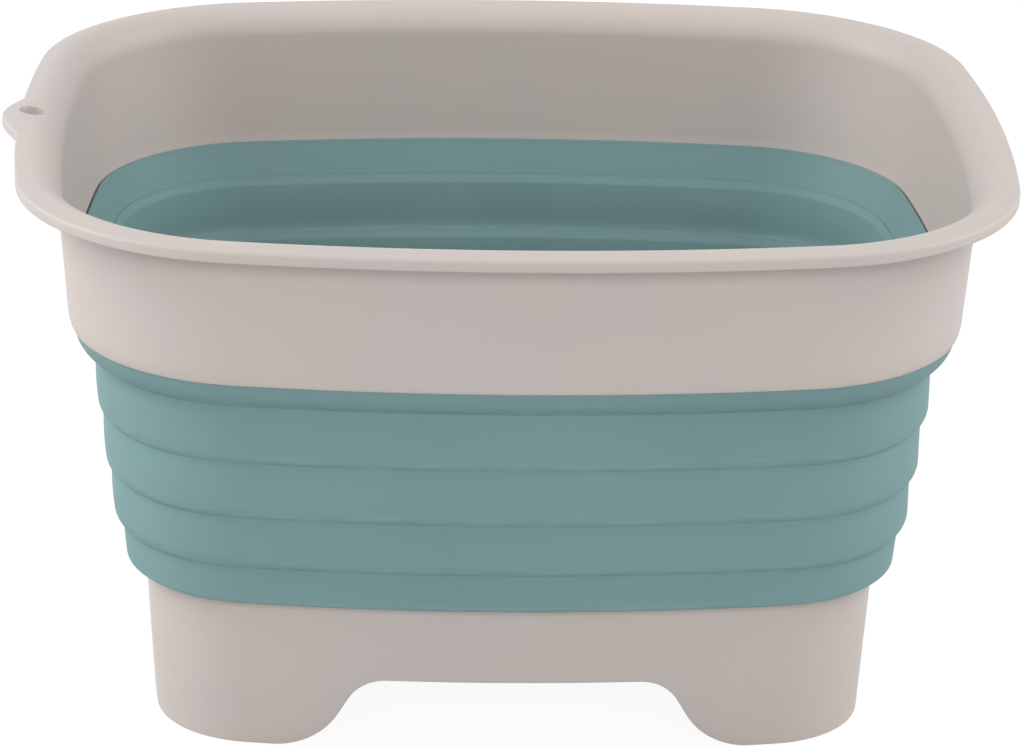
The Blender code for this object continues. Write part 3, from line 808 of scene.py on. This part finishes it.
def add_ribs():
    """Three ribs across the floor, one along it and the drain's boss, as blocks that run into the skirt."""
    rib_foot = ARCH_HEIGHT + RIB_CLEARANCE
    rib_top = floor_foot + FLOOR_THICKNESS / 2
    half = RIB_THICKNESS / 2
    skirt = base_outer(rib_foot) + BASE_WALL / 2
    blocks = []
    for place in (-RIB_SPACING, 0, RIB_SPACING):
        radius = LONG_SIDE_RADIUS - skirt
        reach = half_width - LONG_SIDE_RADIUS + math.sqrt(radius**2 - place**2)
        low = Vector((tub_x + place - half, -reach, rib_foot))
        high = Vector((tub_x + place + half, reach, rib_top))
        blocks.append(add_block(low, high))
    reach = RIM_LENGTH / 2 - skirt
    blocks.append(add_block(Vector((tub_x - reach, -half, rib_foot)), Vector((tub_x + reach, half, rib_top))))
    bpy.ops.object.select_all(action="DESELECT")
    bpy.ops.mesh.primitive_cylinder_add(
        vertices=ROUND_STEPS,
        radius=SUMP_RADIUS + BASE_WALL,
        depth=rib_top - rib_foot,
        location=(tub_x, 0, (rib_top + rib_foot) / 2),
    )
    blocks.append(bpy.context.object)
    return blocks


base = carry_round("footed_base", base_section(), closed=False, steps=BASE_STEPS)
raise_arches(base)
for block in add_ribs():
    combine(base, block, "UNION")
rib_clear = ARCH_HEIGHT - OVERRUN
recess = [
    (0, FLOOR_TOP + OVERRUN),
    (SUMP_RADIUS, FLOOR_TOP + OVERRUN),
    (SUMP_RADIUS, sump_floor),
    (DRAIN_HOLE_RADIUS, sump_floor),
    (DRAIN_HOLE_RADIUS, sump_floor - BASE_WALL),
    (SUMP_RADIUS, sump_floor - BASE_WALL),
    (SUMP_RADIUS, rib_clear),
    (0, rib_clear),
]
combine(base, add_turned("drain_recess", recess), "DIFFERENCE")
base_plastic = beige_plastic("base_plastic", FOOT_WEAR_HEIGHT, 0)
dress(base, base_plastic, "base", "base_shell", CRISP_SMOOTH_ANGLE)


# Drain seat
# A teal rubber ring pressed into the hole in the floor, with a flange above it and a lip below.
SEAT_BORE_RADIUS = 0.0140
SEAT_FLANGE_THICKNESS = 0.0014
SEAT_LIP = 0.0012
SEAT_ROUNDING = 0.0005

seat_low, seat_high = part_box("drain_seat")
seat_radius = seat_high.y
flange_foot = seat_high.z - SEAT_FLANGE_THICKNESS
neck = DRAIN_HOLE_RADIUS - CUFF_CONTACT
lip_top = sump_floor - BASE_WALL - CUFF_CONTACT
rounding = SEAT_ROUNDING
rounded = (seat_high.z - rounding, rounding, rounding)
seat_profile = arc(SEAT_BORE_RADIUS + rounding, *rounded, UP, OUTWARDS, SMALL_ROUND_STEPS)
seat_profile += [(SEAT_BORE_RADIUS, seat_low.z), (neck, seat_low.z)]
seat_profile += [(neck + SEAT_LIP, (seat_low.z + lip_top) / 2), (neck + SEAT_LIP, lip_top)]
seat_profile += [(neck, lip_top), (neck, flange_foot), (seat_radius, flange_foot)]
seat_profile += arc(seat_radius - rounding, *rounded, INWARDS, UP, SMALL_ROUND_STEPS)
seat = add_turned("drain_ring", seat_profile)
dress(seat, teal_rubber("drain_ring_rubber", seat_high.z), "base", "drain_seat")


# Drain plug
# A warm grey plastic stopper: a tapered body in the seat, a flange that rests on it and a grip for
# two fingers across its top.
PLUG_FLANGE_THICKNESS = 0.0020
PLUG_BODY_DEPTH = 0.0100
PLUG_TAPER = 0.0008
PLUG_PLAY = 0.00015
PLUG_GRIP_LENGTH = 0.0220
PLUG_GRIP_WIDTH = 0.0042
PLUG_GRIP_ROUNDING = 0.0011
PLUG_ROUNDING = 0.0008

plug_low, plug_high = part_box("drain_plug")
plug_radius = plug_high.y
plug_rest = plug_low.z + PLUG_BODY_DEPTH
plug_top = plug_rest + PLUG_FLANGE_THICKNESS


GREY = (0.330, 0.302, 0.286, 1.0)
GREY_PALE = (0.365, 0.335, 0.318, 1.0)
GREY_CLOUD = (60, 3.0)
GREY_RUB = (300, 3.0)
GREY_RUB_SHARES = (0.58, 0.74)
GREY_GRAIN = (1800, 2.0)
GREY_COLOUR_SHARE = 0.4
GREY_ROUGHNESS = 0.42
GREY_RUB_ROUGHNESS = 0.12
GREY_GRAIN_DEPTH = 0.000010
GREY_CLOUD_DEPTH = 0.00004


def grey_plastic():
    """Satin grey plastic with a fine grain and paler rubbed places."""
    material, shader, place = start_material("plug_plastic")
    cloud = place.noise(*GREY_CLOUD)
    rubbed = place.noise(*GREY_RUB).step(*GREY_RUB_SHARES)
    colour = (cloud * GREY_COLOUR_SHARE + rubbed * GREY_COLOUR_SHARE).blend(GREY, GREY_PALE)
    roughness = GREY_ROUGHNESS + rubbed * GREY_RUB_ROUGHNESS
    relief = place.noise(*GREY_GRAIN) * GREY_GRAIN_DEPTH + cloud * GREY_CLOUD_DEPTH
    feed(shader, colour, roughness, relief)
    return material


body_radius = SEAT_BORE_RADIUS - PLUG_PLAY
turn = PLUG_ROUNDING
plug_profile = [(0, plug_top), (0, plug_low.z)]
body_foot = body_radius - PLUG_TAPER - turn
plug_profile += arc(body_foot, plug_low.z + turn, turn, turn, DOWN, FULL_TURN, SMALL_ROUND_STEPS)
plug_profile += [(body_radius, plug_rest), (plug_radius, plug_rest)]
plug_profile += arc(plug_radius - turn, plug_top - turn, turn, turn, INWARDS, UP, SMALL_ROUND_STEPS)
plug = add_turned("stopper", plug_profile)
bpy.ops.object.select_all(action="DESELECT")
bpy.ops.mesh.primitive_cylinder_add(
    vertices=ROUND_STEPS,
    radius=PLUG_GRIP_LENGTH / 2,
    depth=PLUG_GRIP_WIDTH,
    location=(tub_x, 0, plug_high.z - PLUG_GRIP_LENGTH / 2),
    rotation=(math.pi / 2, 0, 0),
)
grip = bpy.context.object
bpy.ops.object.transform_apply(location=True, rotation=True, scale=True)
for vertex in grip.data.vertices:
    half = PLUG_GRIP_LENGTH / 2
    middle = plug_high.z - half
    crest = (plug_high.z - plug_top) / 2
    rise = (vertex.co.z - middle) / half
    vertex.co.z = plug_high.z - crest + crest * rise if rise > 0 else plug_rest + turn


def on_grip_edge(*ends):
    """True for the two long edges over the grip's top."""
    side = all(abs(abs(end.y) - PLUG_GRIP_WIDTH / 2) < CUFF_CONTACT for end in ends)
    return side and ends[0].y * ends[1].y > 0 and max(end.z for end in ends) > plug_top


round_edges(grip, on_grip_edge, PLUG_GRIP_ROUNDING, SMALL_ROUND_STEPS)
combine(plug, grip, "UNION")
dress(plug, grey_plastic(), "plug", "drain_plug", CRISP_SMOOTH_ANGLE)


# Floor and backdrop
# A plain white floor that shades into a white surround, and keeps a soft shadow under the feet.
FLOOR_SIZE = 8.0
FLOOR_DROP = 0.0003
FLOOR_WHITE = (0.75, 0.75, 0.75, 1.0)
FLOOR_GLOW_SHARE = 0.88
FLOOR_GLOW = 1.06
FLOOR_ROUGHNESS = 0.9
WHITE = (1.0, 1.0, 1.0, 1.0)


def seen_share(tree):
    """1 for rays from the camera, off gloss or through glass, and 0 for the rest."""
    path = tree.nodes.new("ShaderNodeLightPath")
    camera, glossy, clear = [
        Socket(tree, path.outputs[name])
        for name in ("Is Camera Ray", "Is Glossy Ray", "Is Transmission Ray")
    ]
    return camera.sum_node("MAXIMUM", camera.sum_node("MAXIMUM", camera, glossy), clear)


bpy.ops.object.select_all(action="DESELECT")
bpy.ops.mesh.primitive_plane_add(size=FLOOR_SIZE, location=(0, 0, -FLOOR_DROP))
floor = bpy.context.object
floor.name = "floor"
paper = bpy.data.materials.new("white_paper")
paper.use_nodes = True
floor_tree = paper.node_tree
floor_shader = floor_tree.nodes["Principled BSDF"]
floor_shader.inputs["Base Color"].default_value = FLOOR_WHITE
floor_shader.inputs["Roughness"].default_value = FLOOR_ROUGHNESS
floor_shader.inputs["Specular IOR Level"].default_value = 0
plain = Socket(floor_tree, floor_shader.outputs[0])
glow = plain.node("ShaderNodeEmission", {}, {"Color": WHITE, "Strength": FLOOR_GLOW})
share = seen_share(floor_tree) * FLOOR_GLOW_SHARE
mixed = share.node("ShaderNodeMixShader", {}, {0: share, 1: plain, 2: glow})
floor_tree.links.new(mixed.output, floor_tree.nodes["Material Output"].inputs["Surface"])
floor.data.materials.append(paper)
floor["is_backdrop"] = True


# Light
# A white room with three large soft boxes: one in front, over the camera, and one at each side.
ROOM_LIGHT = 0.38
BACKDROP_LIGHT = 1.0
FRONT_LAMP = Vector((0.0, -1.69, 0.96))
SIDE_LAMP = Vector((1.4, 0.1, 1.05))
FRONT_SIZE = (1.6, 0.5)
SIDE_SIZE = (1.2, 1.2)
FRONT_POWER = 15.0
LEFT_POWER = 27.0
RIGHT_POWER = 21.0
aim = Vector((tub_x, 0, crown / 2))

world = bpy.data.worlds.new("white_room")
world.use_nodes = True
bpy.context.scene.world = world
world_tree = world.node_tree
room = Socket(world_tree, world_tree.nodes["Background"].outputs[0])
world_tree.nodes["Background"].inputs["Color"].default_value = WHITE
world_tree.nodes["Background"].inputs["Strength"].default_value = ROOM_LIGHT
backdrop = room.node("ShaderNodeBackground", {}, {"Color": WHITE, "Strength": BACKDROP_LIGHT})
both = room.node("ShaderNodeMixShader", {}, {0: seen_share(world_tree), 1: room, 2: backdrop})
world_tree.links.new(both.output, world_tree.nodes["World Output"].inputs["Surface"])


def soft_box(name, place, size, power):
    """A rectangular area lamp that faces the bowl."""
    lamp = bpy.data.lights.new(name, "AREA")
    lamp.shape = "RECTANGLE"
    lamp.size, lamp.size_y = size
    lamp.energy = power
    holder = bpy.data.objects.new(name, lamp)
    bpy.context.scene.collection.objects.link(holder)
    holder.location = place
    holder.rotation_mode = "QUATERNION"
    holder.rotation_quaternion = (aim - place).to_track_quat("-Z", "Y")


soft_box("front", FRONT_LAMP, FRONT_SIZE, FRONT_POWER)
soft_box("left_side", SIDE_LAMP * Vector((-1, 1, 1)), SIDE_SIZE, LEFT_POWER)
soft_box("right_side", SIDE_LAMP, SIDE_SIZE, RIGHT_POWER)


# Camera
# It stands in front of the long side and a little to the left, and looks down into the bowl.
CAMERA_PLACE = Vector((-0.0653, -1.5776, 0.7003))
CAMERA_TARGET = Vector((0.0051, 0.0, 0.1059))
CAMERA_ROLL = math.radians(1.287)
CAMERA_LENS = 154.27
SENSOR_WIDTH = 36.0

lens = bpy.data.cameras.new("camera")
lens.lens = CAMERA_LENS
lens.sensor_width = SENSOR_WIDTH
camera = bpy.data.objects.new("camera", lens)
bpy.context.scene.collection.objects.link(camera)
camera.location = CAMERA_PLACE
camera.rotation_mode = "QUATERNION"
facing = (CAMERA_TARGET - CAMERA_PLACE).to_track_quat("-Z", "Y")
camera.rotation_quaternion = facing @ Quaternion((0, 0, 1), CAMERA_ROLL)
bpy.context.scene.camera = camera
bpy.context.scene.view_settings.view_transform = "Standard"

low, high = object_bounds()
